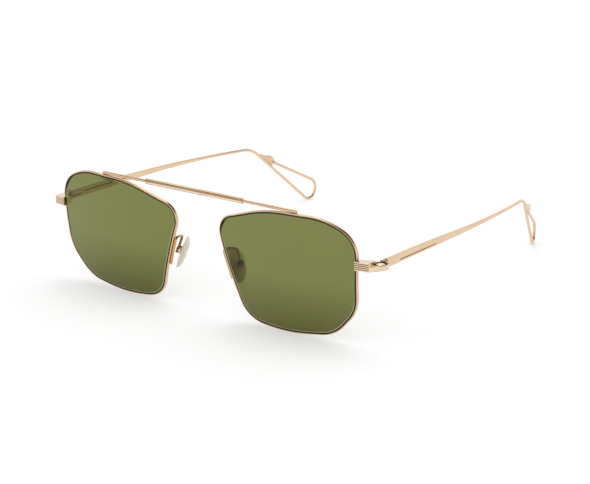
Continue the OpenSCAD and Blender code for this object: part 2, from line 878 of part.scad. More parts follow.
lens(1);  // lens_left
lens(-1);  // lens_right
rim(1);  // rim_left
rim(-1);  // rim_right
brow_bar();
brow_sleeve();
end_piece(1);  // end_piece_left
end_piece(-1);  // end_piece_right
lock_block(1);  // lock_block_left
lock_block(-1);  // lock_block_right
lock_screw(1);  // lock_screw_left
lock_screw(-1);  // lock_screw_right
hinge_screw(1);  // hinge_screw_left
hinge_screw(-1);  // hinge_screw_right
hinge_tongue(1);  // hinge_tongue_left
hinge_tongue(-1);  // hinge_tongue_right
temple(1);  // temple_left
temple(-1);  // temple_right
loop_tab(1);  // loop_tab_left
loop_tab(-1);  // loop_tab_right
pad_arm(1);  // pad_arm_left
pad_arm(-1);  // pad_arm_right
pad_box(1);  // pad_box_left
pad_box(-1);  // pad_box_right
pad_screw(1);  // pad_screw_left
pad_screw(-1);  // pad_screw_right
pad_core(1);  // pad_core_left
pad_core(-1);  // pad_core_right
nose_pad(1);  // nose_pad_left
nose_pad(-1);  // nose_pad_right
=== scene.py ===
import json
import math

import bpy
import numpy as np
from mathutils import Matrix, Vector


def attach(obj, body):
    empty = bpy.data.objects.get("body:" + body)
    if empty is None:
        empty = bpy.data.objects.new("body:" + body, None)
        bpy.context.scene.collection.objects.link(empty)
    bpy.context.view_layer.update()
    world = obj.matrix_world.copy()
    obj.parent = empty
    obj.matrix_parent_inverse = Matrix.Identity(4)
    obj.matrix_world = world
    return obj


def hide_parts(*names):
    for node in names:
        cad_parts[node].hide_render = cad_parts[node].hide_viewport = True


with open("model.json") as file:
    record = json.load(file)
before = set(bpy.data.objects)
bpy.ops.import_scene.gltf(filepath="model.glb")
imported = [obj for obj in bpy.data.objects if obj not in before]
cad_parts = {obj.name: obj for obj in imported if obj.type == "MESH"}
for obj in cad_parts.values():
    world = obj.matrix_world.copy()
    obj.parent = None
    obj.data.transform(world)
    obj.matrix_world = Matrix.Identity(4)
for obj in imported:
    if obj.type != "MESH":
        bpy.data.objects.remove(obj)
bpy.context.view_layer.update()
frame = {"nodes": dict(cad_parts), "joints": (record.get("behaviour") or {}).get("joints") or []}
print("frame:", len(frame["nodes"]), "nodes")

mm = 0.001
sides = {"left": 1, "right": -1}
facets = 48  # faces round a turned piece
easeMid = 0.3  # depth of a rounded edge's middle, as a share of its radius
arcRoom = 0.49  # share of a side that one rounded corner may use
tiny = 1e-6


# small helpers, in millimetres from the lens datum and in degrees
def vec(*xs):
    return np.array(xs, float)


def unit(v):
    return v / np.linalg.norm(v)


def sinD(a):
    return math.sin(math.radians(a))


def cosD(a):
    return math.cos(math.radians(a))


def polar(r, a):
    return r * cosD(a), r * sinD(a)


# turns the pair of axes a, b by an angle
def turned(a, b, angle):
    return a * cosD(angle) + b * sinD(angle), b * cosD(angle) - a * sinD(angle)


def easeIn(t):
    t = min(1, max(0, t))
    return t * t * (3 - 2 * t)


# rounds corner p between a and b with radius r, or as large as fits: points and outward normals
def cornerArc(a, p, b, r, step=3):
    toA, toB = unit(a - p), unit(b - p)
    half = math.acos(np.clip(toA @ toB, -1, 1)) / 2
    room = arcRoom * min(np.linalg.norm(a - p), np.linalg.norm(b - p))
    q = min(r, room * math.tan(half))
    centre = p + unit(toA + toB) * q / math.sin(half)
    start = unit(p + toA * q / math.tan(half) - centre)
    end = unit(p + toB * q / math.tan(half) - centre)
    turn = math.acos(np.clip(start @ end, -1, 1))
    count = max(2, math.ceil(math.degrees(turn) / step))
    points, normals = [], []
    for i in range(count + 1):
        f = i / count
        n = (start * math.sin((1 - f) * turn) + end * math.sin(f * turn)) / math.sin(turn)
        points.append(centre + q * n)
        normals.append(n)
    return points, normals


# polyline through corners, each rounded, open at both ends
def roundedPath(corners, radii, step):
    path = [corners[0]]
    for i in range(1, len(corners) - 1):
        path += cornerArc(corners[i - 1], corners[i], corners[i + 1], radii[i], step)[0]
    return path + [corners[-1]]


# adds points so that no stretch of a path is longer than gap
def subdivided(path, gap):
    out = [path[0]]
    for a, b in zip(path, path[1:]):
        n = max(1, math.ceil(np.linalg.norm(b - a) / gap))
        out += [a + (b - a) * (i + 1) / n for i in range(n)]
    return out


# direction of a path at its point i
def pathAlong(path, i):
    return unit(path[min(i + 1, len(path) - 1)] - path[max(i - 1, 0)])


# mesh shells: points, faces, and the finish of each face that has its own
def sweep(rings, closed=False):
    rings = np.array(rings)
    count, n = rings.shape[:2]
    faces = []
    for k in range(count if closed else count - 1):
        a, b = k * n, (k + 1) % count * n
        faces += [(a + i, a + (i + 1) % n, b + (i + 1) % n, b + i) for i in range(n)]
    if not closed:
        faces.append(tuple(reversed(range(n))))
        faces.append(tuple(range((count - 1) * n, count * n)))
    return rings.reshape(-1, 3), faces, {}


# turns a profile of (radius, height) round Z; the ends may lie on the axis
def lathe(profile, n=facets):
    points, faces, starts = [], [], []
    for r, z in profile:
        starts.append(len(points))
        if r < tiny:
            points.append((0, 0, z))
        else:
            points += [(*polar(r, 360 * i / n), z) for i in range(n)]
    for (r0, _), (r1, _), a, b in zip(profile, profile[1:], starts, starts[1:]):
        for i in range(n):
            j = (i + 1) % n
            if r0 < tiny:
                faces.append((a, b + j, b + i))
            elif r1 < tiny:
                faces.append((a + i, a + j, b))
            else:
                faces.append((a + i, a + j, b + j, b + i))
    return np.array(points, float), faces, {}


# moves a closed outline inwards by d; the outline runs anticlockwise
def inset(outline, d):
    outline = np.array(outline)
    before, after = np.roll(outline, 1, 0), np.roll(outline, -1, 0)
    along = after - before
    inward = np.stack([-along[:, 1], along[:, 0]], 1)
    return outline + d * inward / np.linalg.norm(inward, axis=1)[:, None]


# plate from low to high over an outline, with edges rounded by r
def slab(outline, low, high, r, steps=3):
    turns = [90 * k / steps for k in range(steps + 1)]
    levels = [(a, low + r * (1 - cosD(a))) for a in turns]
    levels += [(a, high - r * (1 - cosD(a))) for a in reversed(turns)]
    rings = []
    for a, z in levels:
        flatRing = inset(outline, r * (1 - sinD(a)))
        rings.append(np.c_[flatRing, np.full(len(flatRing), z)])
    return sweep(rings)


def moved(shell, place):
    return np.array([place(p) for p in shell[0]]), *shell[1:]


# ring of points round a path point, with half sizes a across and b up, and squareness m
def sectionRing(p, along, across, a, b, m, angles):
    x = unit(across - (across @ along) * along)
    y = np.cross(along, x)
    ring = []
    for t in angles:
        c, s = cosD(t), sinD(t)
        ring.append(p + x * a * math.copysign(abs(c) ** m, c) + y * b * math.copysign(abs(s) ** m, s))
    return ring


def evenAngles(n):
    return [360 * (i + 0.5) / n for i in range(n)]


def tube(path, across, radius, n):
    rings = []
    for i, p in enumerate(path):
        rings.append(sectionRing(p, pathAlong(path, i), across, radius, radius, 1, evenAngles(n)))
    return sweep(rings)


# shader writing
class Wire:
    def __init__(self, tree, socket):
        self.tree = tree
        self.socket = socket

    def math(self, operation, other, swapped=False):
        node = self.tree.nodes.new("ShaderNodeMath")
        node.operation = operation
        for slot, value in zip(node.inputs, (other, self) if swapped else (self, other)):
            if isinstance(value, Wire):
                self.tree.links.new(value.socket, slot)
            else:
                slot.default_value = value
        return Wire(self.tree, node.outputs[0])

    def __add__(self, other):
        return self.math("ADD", other)

    def __radd__(self, other):
        return self.math("ADD", other, True)

    def __sub__(self, other):
        return self.math("SUBTRACT", other)

    def __rsub__(self, other):
        return self.math("SUBTRACT", other, True)

    def __mul__(self, other):
        return self.math("MULTIPLY", other)

    def __rmul__(self, other):
        return self.math("MULTIPLY", other, True)

    def __or__(self, other):  # the larger of two
        return self.math("MAXIMUM", other)

    def __ror__(self, other):
        return self.math("MAXIMUM", other, True)

    def __abs__(self):
        return self.math("ABSOLUTE", 0.0)


class Graph:
    def __init__(self, tree):
        self.tree = tree
        tree.nodes.clear()

    def node(self, kind, settings=None, sockets=None, out=0):
        made = self.tree.nodes.new(kind)
        for key, value in (settings or {}).items():
            setattr(made, key, value)
        for key, value in (sockets or {}).items():
            if isinstance(value, Wire):
                self.tree.links.new(value.socket, made.inputs[key])
            else:
                made.inputs[key].default_value = value
        return Wire(self.tree, made.outputs[out]) if made.outputs else None

    # a mix of two colours
    def blend(self, factor, a, b):
        sockets = {0: factor, 6: (*a, 1), 7: (*b, 1)}
        return self.node("ShaderNodeMix", {"data_type": "RGBA"}, sockets, 2)


def newMaterial(name):
    material = bpy.data.materials.new(name)
    material.use_nodes = True
    return material, Graph(material.node_tree)


def closeMaterial(graph, surface):
    graph.node("ShaderNodeOutputMaterial", None, {"Surface": surface})


# gold plate: base and shade colours, roughness and grain, and what departs from smooth bright metal
goldLook = {
    "polished": dict(base=(0.77, 0.555, 0.36), shade=(0.66, 0.45, 0.27), rough=0.09, grain=0.03),
    "satin": dict(base=(0.82, 0.605, 0.405), shade=(0.75, 0.535, 0.345), rough=0.25, grain=0.09, bump=0.04),
    # painted shade and painted inter-reflection: a darker, more orange copy of the gold for the pad arms and
    # boxes
    "amber": dict(base=(0.66, 0.40, 0.19), shade=(0.50, 0.28, 0.115), rough=0.10, grain=0.03),
    "pale": dict(base=(0.86, 0.70, 0.53), shade=(0.78, 0.60, 0.43), rough=0.09, grain=0.03),
    "knurl": dict(base=(0.66, 0.455, 0.27), shade=(0.56, 0.37, 0.21), rough=0.16, grain=0.05),
    # painted shade: a dark brown for the faces of grooves and engraved lines
    "seam": dict(base=(0.36, 0.195, 0.08), shade=(0.26, 0.135, 0.052), rough=0.45, grain=0.08,
                 metal=0.0, gloss=0.1),
    # painted shadow: near black for the bowl and the ring round the hinge screw's head
    "recess": dict(base=(0.060, 0.027, 0.011), shade=(0.035, 0.015, 0.006), rough=0.45, grain=0.08,
                   metal=0.0, gloss=0.1),
}
# what all plates share: cloudy patches of tint, and grain brushed along the temples
plating = dict(patch=90.0, tintFrom=0.3, tintTo=0.7, patchRough=0.06, brush=(9000.0, 260.0, 9000.0),
               brushDeep=0.05 * mm)


def goldPlate(name):
    look = goldLook[name]
    material, g = newMaterial(name + "Gold")
    place = g.node("ShaderNodeTexCoord", None, None, "Object")
    patch = g.node("ShaderNodeTexNoise", None, {"Vector": place, "Scale": plating["patch"], "Detail": 3.0})
    brushed = g.node("ShaderNodeMapping", None, {"Vector": place, "Scale": plating["brush"]})
    lines = g.node("ShaderNodeTexNoise", None, {"Vector": brushed, "Scale": 1.0, "Detail": 2.0})
    span = {"Value": patch, "From Min": plating["tintFrom"], "From Max": plating["tintTo"]}
    tint = g.node("ShaderNodeMapRange", None, span)
    sockets = {
        "Base Color": g.blend(tint, look["shade"], look["base"]),
        "Metallic": look.get("metal", 1.0),
        "Specular IOR Level": look.get("gloss", 0.5),
        "Roughness": look["rough"] + look["grain"] * (lines - 0.5) + plating["patchRough"] * (patch - 0.5),
    }
    if "bump" in look:
        bump = {"Strength": look["bump"], "Height": lines, "Distance": plating["brushDeep"]}
        sockets["Normal"] = g.node("ShaderNodeBump", None, bump)
    closeMaterial(g, g.node("ShaderNodeBsdfPrincipled", None, sockets))
    return material


# tinted lens: darker towards the lower rim, a painted shade that stands in for the table's shadow seen
# through the lens
lensLook = dict(top=(0.195, 0.207, 0.063), foot=(0.112, 0.112, 0.030), footFrom=0.001, footTo=0.021,
                ior=1.27, cloud=35.0, cloudShare=0.03, rough=0.004)


def lensGlass():
    material, g = newMaterial("oliveLens")
    place = g.node("ShaderNodeTexCoord", None, None, "Object")
    height = g.node("ShaderNodeSeparateXYZ", None, {"Vector": place}, "Z")
    span = {"Value": height, "From Min": lensLook["footFrom"], "From Max": lensLook["footTo"]}
    depth = g.node("ShaderNodeMapRange", None, span)
    cloud = g.node("ShaderNodeTexNoise", None, {"Vector": place, "Scale": lensLook["cloud"], "Detail": 1.0})
    shade = (1 - lensLook["cloudShare"]) * depth + lensLook["cloudShare"] * cloud
    sockets = {
        "Base Color": g.blend(shade, lensLook["foot"], lensLook["top"]),
        "Roughness": lensLook["rough"] * cloud,
        "IOR": lensLook["ior"],
        "Transmission Weight": 1.0,
    }
    closeMaterial(g, g.node("ShaderNodeBsdfPrincipled", None, sockets))
    return material


# the lens's bevelled edge: a dark band of painted shadow outside, where the lens meets the rim, and a light
# line of painted highlight inside it
edgeLook = {
    "lensEdge": dict(dark=(0.012, 0.012, 0.008), light=(0.03, 0.03, 0.018)),
    "lensGleam": dict(dark=(0.36, 0.385, 0.19), light=(0.50, 0.525, 0.27)),
}
edgeGrain = dict(scale=900.0, rough=0.35, vary=0.2, gloss=0.1)


def lensEdge(name):
    look = edgeLook[name]
    material, g = newMaterial(name)
    place = g.node("ShaderNodeTexCoord", None, None, "Object")
    cloud = g.node("ShaderNodeTexNoise", None, {"Vector": place, "Scale": edgeGrain["scale"], "Detail": 2.0})
    sockets = {
        "Base Color": g.blend(cloud, look["dark"], look["light"]),
        "Roughness": edgeGrain["rough"] + edgeGrain["vary"] * cloud,
        "Specular IOR Level": edgeGrain["gloss"],
    }
    closeMaterial(g, g.node("ShaderNodeBsdfPrincipled", None, sockets))
    return material


# soft pads: cream, with faint moulding lines
padLook = dict(base=(0.90, 0.76, 0.60), line=(0.78, 0.62, 0.46), lineScale=413.815,
               lineBend=1.2, lineShare=0.6, bump=0.15, bumpDeep=0.04 * mm, cloud=400.0, rough=0.34, vary=0.15,
               coat=0.25, scatter=(0.003, 0.003, 0.0028))


def padCream():
    material, g = newMaterial("padCream")
    place = g.node("ShaderNodeTexCoord", None, None, "Object")
    wave = {"Vector": place, "Scale": padLook["lineScale"], "Distortion": padLook["lineBend"]}
    lines = g.node("ShaderNodeTexWave", {"bands_direction": "Y", "wave_profile": "SIN"}, wave)
    cloud = g.node("ShaderNodeTexNoise", None, {"Vector": place, "Scale": padLook["cloud"], "Detail": 2.0})
    bump = {"Strength": padLook["bump"], "Height": lines, "Distance": padLook["bumpDeep"]}
    sockets = {
        "Base Color": g.blend(padLook["lineShare"] * lines * cloud, padLook["base"], padLook["line"]),
        "Roughness": padLook["rough"] + padLook["vary"] * (cloud - 0.5),
        "Normal": g.node("ShaderNodeBump", None, bump),
        "Subsurface Weight": 1.0,
        "Subsurface Radius": padLook["scatter"],
        "Subsurface Scale": 1.0,
        "Coat Weight": padLook["coat"],
    }
    closeMaterial(g, g.node("ShaderNodeBsdfPrincipled", None, sockets))
    return material


finishes = {name: goldPlate(name) for name in goldLook}
finishes["lens"] = lensGlass()
finishes.update({name: lensEdge(name) for name in edgeLook})
finishes["cream"] = padCream()
print("finishes:", len(finishes))

# sizes of the front
front = dict(
    lensW=53, lensH=42, lensGap=19.4, lensT=1.9, lensR=123, wrap=2.7, tilt=6.8,
    rimW=0.5, rimD=1.15, rimLip=0.2, seat=0.03,
    blockUp=7.05, hingeOut=5, hingeBack=6, hingeDown=0.8,
    outlineGap=1.4, outlineStep=2,
)
halfW, halfH = front["lensW"] / 2, front["lensH"] / 2
lensX = (front["lensGap"] + front["lensW"]) / 2
# corners of the left lens, anticlockwise from its centre: outward, up, radius
lensCorners = [
    (9 - halfW, 1.3 - halfH, 9.5),  # bottom nasal
    (-1.3, -halfH - 0.4, 65),  # chin
    (halfW - 9.6, 1.8 - halfH, 13),  # jaw
    (halfW - 0.8, 11.7 - halfH, 13),  # cheek
    (halfW + 0.3, halfH - 5.8, 11),  # outer brow
    (15.2, halfH, 24),  # outer end of the level top
    (-6.7, halfH, 48),  # inner end of the level top
    (-halfW - 1.6, halfH - 7.1, 6.3),  # inner brow
]
outerSide, nasalSide = (3, 4), (7, 0)  # the corners at the ends of a side


# smooth outline of the left lens opening: points and outward normals
def lensOutline():
    points, normals = [], []
    corners = [vec(u, v) for u, v, _ in lensCorners]
    n = len(corners)
    for i in range(n):
        around = corners[i - 1], corners[i], corners[(i + 1) % n]
        arc, out = cornerArc(*around, lensCorners[i][2], front["outlineStep"])
        if points:
            fill = subdivided([points[-1], arc[0]], front["outlineGap"])[1:-1]
            points += fill
            normals += [normals[-1]] * len(fill)
        points += arc
        normals += out
    fill = subdivided([points[-1], points[0]], front["outlineGap"])[1:-1]
    return np.array(points + fill), np.array(normals + [normals[-1]] * len(fill))


# point on the left lens: outward, up, depth behind the lens face
def lensPoint(u, v, depth):
    r, wrap, tilt = front["lensR"], front["wrap"], front["tilt"]
    sag = r - math.sqrt((r - depth) ** 2 - u * u - v * v)
    y = u * sinD(wrap) + sag * cosD(wrap)
    x = lensX + u * cosD(wrap) - sag * sinD(wrap)
    return vec(x, y * cosD(tilt) - v * sinD(tilt), y * sinD(tilt) + v * cosD(tilt))


# outward place of a lens side at height v, moved outwards by out
def sideU(side, v, out):
    a, b = (vec(*lensCorners[i][:2]) for i in side)
    e = unit(b - a)
    return a[0] + ((v - a[1]) * e[0] + out) / e[1]


rimSide = lensPoint(sideU(outerSide, front["blockUp"], front["rimW"]), front["blockUp"], -front["rimLip"])
hinge = rimSide + vec(front["hingeOut"], front["hingeBack"], -front["hingeDown"])
joints = {j["name"]: j for j in frame["joints"]}
datum = np.array(joints["temple_fold_left"]["pos_m"]) / mm - hinge
print("datum:", datum.round(3))


# turns a shell's faces outwards
def outward(shell):
    points, faces, own = shell
    triangles = np.array([(f[0], f[i], f[i + 1]) for f in faces for i in range(1, len(f) - 1)])
    a, b, c = (points[triangles[:, k]] for k in range(3))
    volume = np.sum(a * np.cross(b, c))
    return points, (faces if volume > 0 else [f[::-1] for f in faces]), own


def addObject(name, data):
    made = bpy.data.objects.new(name, data)
    bpy.context.scene.collection.objects.link(made)
    return made


# one piece for the node: shells of the left one, mirrored where hand is -1;
# edges that turn by more than sharp degrees stay sharp
def onePiece(name, node, shells, body, finish, sharp=35, hand=1):
    points, faces, worn = [], [], []
    for shellPoints, shellFaces, own in map(outward, shells):
        start = len(points)
        worn += [own.get(i, finish) for i in range(len(shellFaces))]
        points += [tuple((vec(hand, 1, 1) * p + datum) * mm) for p in shellPoints]
        faces += [tuple(start + i for i in (f if hand > 0 else reversed(f))) for f in shellFaces]
    mesh = bpy.data.meshes.new(name)
    mesh.from_pydata(points, [], faces)
    mesh.polygons.foreach_set("use_smooth", [True] * len(mesh.polygons))
    mesh.set_sharp_from_angle(angle=math.radians(sharp))
    order = [finish] + sorted(set(worn) - {finish})
    for look in order:
        mesh.materials.append(finishes[look])
    mesh.polygons.foreach_set("material_index", [order.index(w) for w in worn])
    piece = addObject(name, mesh)
    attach(piece, body)
    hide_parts(node)
    return piece


# one piece for each side
def pair(node, shells, body, finish, sharp):
    pieces = []
    for side, hand in sides.items():
        name = node + "_" + side
        pieces.append(onePiece(name, name, shells, body.format(side), finish, sharp, hand))
    return pieces


# lenses: a curved plate with eased edges, and the bevel that sits in the rim
lens = dict(rings=14, step=0.02, ease=0.10, bevel=0.2, bevelFrom=0.175, bevelTo=0.575, bevelBack=0.2,
            rearBevel=0.55, band=0.42, bandDeep=0.03, gleam=0.28, gleamTop=-0.08, gleamFade=0.2)


def lensShell():
    outline, normals = lensOutline()
    thick, step, seat = front["lensT"], lens["step"], -front["seat"]
    band, bevel, rear = seat - lens["band"], lens["bevel"], -lens["rearBevel"]
    fade = np.clip((lens["gleamTop"] - normals[:, 1:]) / lens["gleamFade"], 0, 1)
    edge = [(band - 2 * step - lens["gleam"] * fade, 0), (band - step, 0)]
    edge += [(band, lens["bandDeep"]), (seat, lens["ease"]), (bevel, lens["bevelFrom"])]
    edge += [(bevel, lens["bevelTo"]), (seat, lens["bevelTo"] + lens["bevelBack"])]
    edge += [(seat, front["rimD"] - front["rimLip"]), (rear, thick - step), (rear - 2 * step, thick)]
    rings = []

    def grow(out, depth, share=1.0):
        flat = (outline + normals * out) * share
        rings.append([lensPoint(u, v, depth) for u, v in flat])

    for k in range(1, lens["rings"]):
        grow(edge[0][0], 0, k / lens["rings"])
    for out, depth in edge:
        grow(out, depth)
    for k in range(lens["rings"] - 1, 0, -1):
        grow(edge[-1][0], thick, k / lens["rings"])
    points, faces, own = sweep(rings)
    n = len(outline)
    # the front edge band is painted near black: painted shadow where the lens meets the rim
    for i in range((lens["rings"] + 1) * n, (lens["rings"] + 3) * n):
        own[i] = "lensEdge"
    # painted highlight: a light line along the lower half of the front edge
    for i in np.flatnonzero(fade):  # light line along the lower half
        own[(lens["rings"] - 1) * n + i] = "lensGleam"
    last = len(rings) - 1
    points = np.vstack([points, lensPoint(0, 0, 0), lensPoint(0, 0, thick)])
    faces = faces[:-2]  # the two flat ends give way to fans
    mid, back = len(points) - 2, len(points) - 1
    faces += [(mid, (i + 1) % n, i) for i in range(n)]
    faces += [(back, last * n + i, last * n + (i + 1) % n) for i in range(n)]
    return points, faces, own


pair("lens", [lensShell()], "front", "lens", 40)

# rims: a thin wire with a domed outer face and the lens groove
rim = dict(ease=0.11, grooveDeep=0.25, grooveFrom=0.125, grooveTo=0.625, domeFrom=0.22, dome=0.92,
           domeSteps=14, bevelIn=0.09, bevelLow=0.06, bevelHigh=0.26)


def rimShell():
    outline, normals = lensOutline()
    w, ease, lip = front["rimW"], rim["ease"], front["rimLip"]
    back = front["rimD"] - lip
    section = [(0, rim["grooveFrom"]), (rim["grooveDeep"], rim["grooveFrom"])]
    section += [(rim["grooveDeep"], rim["grooveTo"]), (0, rim["grooveTo"])]
    section += [(0, back - ease), (ease * easeMid, back - ease * easeMid), (ease, back)]
    mid, half = (back - lip) / 2, (back + lip) / 2
    for k in range(rim["domeSteps"] + 1):
        a = 90 - 180 * k / rim["domeSteps"]
        out = rim["domeFrom"] + (w - rim["domeFrom"]) * max(0, cosD(a)) ** rim["dome"]
        section.append((out, mid + half * math.copysign(abs(sinD(a)) ** rim["dome"], a)))
    section += [(rim["bevelIn"], rim["bevelLow"] - lip), (0, rim["bevelHigh"] - lip)]
    rings = []
    for p, n in zip(outline, normals):
        rings.append([lensPoint(*(p + n * out), depth) for out, depth in section])
    return sweep(rings, closed=True)


pair("rim", [rimShell()], "front", "polished", 50)
print("lenses and rims")

# brow bar and the sleeve on its middle
bar = dict(d=1.1, past=5.4, back=0.7, sink=0.1, bowR=420, lean=20, endEase=0.18, endLong=1,
           rings=60, facets=24)
sleeve = dict(d=2.0, long=41.4, pitch=0.62, perPitch=4, ripple=0.085, groove=0.06, seamUp=-9.0, seamHalf=5.0,
              topTo=150.0, endEase=0.1, facets=80)
barTip = lensPoint(bar["past"], halfH + front["rimW"] + bar["d"] / 2 - bar["sink"], bar["back"])
barHalf = math.degrees(math.asin(barTip[0] / bar["bowR"]))
barSag = bar["bowR"] * (1 - cosD(barHalf))
barMid = vec(0, barTip[1] - barSag * cosD(bar["lean"]), barTip[2] + barSag * sinD(bar["lean"]))


# point on the bow at x, with the two directions across it
def bowPoint(x):
    a = math.asin(x / bar["bowR"])
    back = vec(0, cosD(bar["lean"]), -sinD(bar["lean"]))
    up = vec(0, sinD(bar["lean"]), cosD(bar["lean"]))
    p = barMid + vec(x, 0, 0) + back * bar["bowR"] * (1 - math.cos(a))
    return p, vec(math.sin(a), 0, 0) - back * math.cos(a), up


def bowRing(x, radii):
    p, ahead, up = bowPoint(x)
    n = len(radii)
    return [p - r * (ahead * cosD(360 * i / n) + up * sinD(360 * i / n)) for i, r in enumerate(radii)]


def barShell():
    r, ease, end = bar["d"] / 2, bar["endEase"], barTip[0]
    stops = [(-end, r - ease), (-end + ease * easeMid, r - ease * easeMid), (-end + ease, r)]
    stops += [(x, r) for x in np.linspace(-end + bar["endLong"], end - bar["endLong"], bar["rings"])]
    stops += [(-x, radius) for x, radius in reversed(stops[:3])]
    return sweep([bowRing(x, [radius] * bar["facets"]) for x, radius in stops])


# the sleeve's upper face is finely rippled, a seam runs along its front with its faces painted dark as shade,
# and its lower band is plain
def sleeveShell():
    r, half, n = sleeve["d"] / 2, sleeve["long"] / 2, sleeve["facets"]
    count = round(sleeve["long"] / sleeve["pitch"]) * sleeve["perPitch"]
    ends = [(-half, sleeve["endEase"]), (-half + sleeve["endEase"], 0)]
    stops = ends + [(x, 0) for x in np.linspace(-half, half, count + 1)[1:-1]]
    stops += [(-x, cut) for x, cut in reversed(ends)]
    stops.sort()
    rings = []
    for x, cut in stops:
        radii = []
        phase = 360 * (x + half) / sleeve["pitch"]
        for i in range(n):
            t = 360 * i / n - 180
            seam = max(0, 1 - abs(t - sleeve["seamUp"]) / sleeve["seamHalf"])
            top = sleeve["seamUp"] + sleeve["seamHalf"] < t < sleeve["topTo"]
            dent = sleeve["ripple"] * (1 + cosD(phase)) / 2 if top and not cut else 0
            radii.append(r - cut - dent - sleeve["groove"] * seam)
        rings.append(bowRing(x, radii))
    points, faces, own = sweep(rings)
    # the seam's faces take the dark brown of painted shade
    for i in range(n):
        t = 360 * (i + 0.5) / n - 180
        look = "seam" if abs(t - sleeve["seamUp"]) < sleeve["seamHalf"] else "knurl"
        if sleeve["seamUp"] - sleeve["seamHalf"] < t < sleeve["topTo"]:
            own.update({k * n + i: look for k in range(len(rings) - 1)})
    return points, faces, own


onePiece("brow_bar_wire", "brow_bar", [barShell()], "front", "polished")
onePiece("brow_sleeve_knurled", "brow_sleeve", [sleeveShell()], "front", "pale", 50)
print("brow bar")

# end pieces: ribbed block, swept wall and hinge drum
block = dict(w=4.9, h=3.05, d=5.2, face=1.1, faceSteps=8, sweep=11, ribs=5, ribDepth=0.16, ribHalf=0.24,
             ribMargin=0.2, lineFrom=0.3, cornerR=0.3, cornerStep=15, ease=0.12, clear=2.22, ramp=0.2,
             sink=0.03, arcSteps=12, rearIn=2.5, rearOut=0.6, rings=60)
drum = dict(d=5.4, h=1.6, ringEase=0.14, headD=4.2, headSink=0.25, headGap=0.05, bowlEase=0.06, slotH=0.65,
            wallD=0.55, wallFrom=210, wallTo=442.5, wallSteps=32,
            toothUp=0.6, toothDeep=0.45, toothHalf=9, toothSteps=7, toothEase=0.12, teethAt=(70, 94, 118))
drumR = drum["d"] / 2
blockX0 = rimSide[0] - front["rimW"]
blockX1 = blockX0 + block["w"]
blockY0 = rimSide[1] - block["face"]
blockY1 = blockY0 + block["d"]
blockZ0 = rimSide[2] - block["h"] / 2
blockRun = block["w"] * math.tan(math.radians(block["sweep"]))
drumTop = hinge[2] + drum["h"] / 2


def onHinge(shell):
    return moved(shell, lambda p: p + hinge)


# the block's plan: a wall that runs into the drum, or above it a corner cut round it at radius clear;
# drawn is the share by which the rear is drawn in
def blockPlan(faceBack, clear, drawn):
    inner, outer = vec(blockX0, blockY0 + faceBack), vec(blockX1, blockY0 + blockRun + faceBack)
    rear = vec(blockX1, blockY1 + block["rearOut"] * drawn)
    rearIn = vec(blockX0, blockY1 - block["rearIn"] * drawn)
    hub, reach = hinge[:2], clear or drumR - block["sink"]
    plan = [inner + (outer - inner) * i / block["faceSteps"] for i in range(block["faceSteps"])]
    plan += cornerArc(inner, outer, rear, block["cornerR"], block["cornerStep"])[0]
    off, back = rear - hub, unit(rearIn - rear)
    onRear = off + back * (math.sqrt((off @ back) ** 2 - off @ off + reach * reach) - off @ back)
    meet = math.degrees(math.atan2(onRear[1], onRear[0]))
    if clear:
        begin = -90 - math.degrees(math.asin((hub[0] - blockX1) / reach))
    else:
        toFront = outer - hub
        begin = math.degrees(math.atan2(toFront[1], toFront[0]) + math.acos(reach / np.linalg.norm(toFront)))
    for i in range(block["arcSteps"] + 1):
        plan.append(hub + vec(*polar(reach, begin + (meet - begin) * i / block["arcSteps"])))
    plan.append(rearIn)
    return np.array(plan)


def blockShell():
    rings, own = [], {}
    top, ease, steps = blockZ0 + block["h"], block["ease"], block["rings"]
    ribHigh = block["h"] / block["ribs"]

    def addRing(z, clear):
        f = (z - blockZ0) / ribHigh
        inRibs = block["ribMargin"] < f < block["ribs"] - block["ribMargin"]
        groove = block["ribDepth"] * max(0, 1 - abs(f - round(f)) / block["ribHalf"]) if inRibs else 0
        trim = ease * (1 - math.sqrt(max(0, 1 - (1 - min(z - blockZ0, top - z, ease) / ease) ** 2)))
        plan = blockPlan(groove, clear, max(0, (z - drumTop) / (top - drumTop)))
        plan = inset(plan, trim) if trim else plan
        n = len(plan)
        first = len(rings) * n
        # the deeper part of each rib groove is painted dark brown as shade
        if groove > block["lineFrom"] * block["ribDepth"]:
            own.update({first + i: "seam" for i in range(block["faceSteps"])})
        if clear:  # the wall beside the screw head
            own.update({first + i: "satin" for i in range(n - block["arcSteps"] - 3, n - 1)})
        rings.append(np.c_[plan, np.full(n, z)])

    for z in np.linspace(blockZ0, top, steps + 1):
        if z < drumTop:
            addRing(z, 0)
            if z + block["h"] / steps >= drumTop:
                addRing(drumTop, 0)
                addRing(drumTop, block["clear"])
        else:
            addRing(z, block["clear"] + block["ramp"] * ((z - drumTop) / (top - drumTop)) ** 2)
    return *sweep(rings)[:2], own


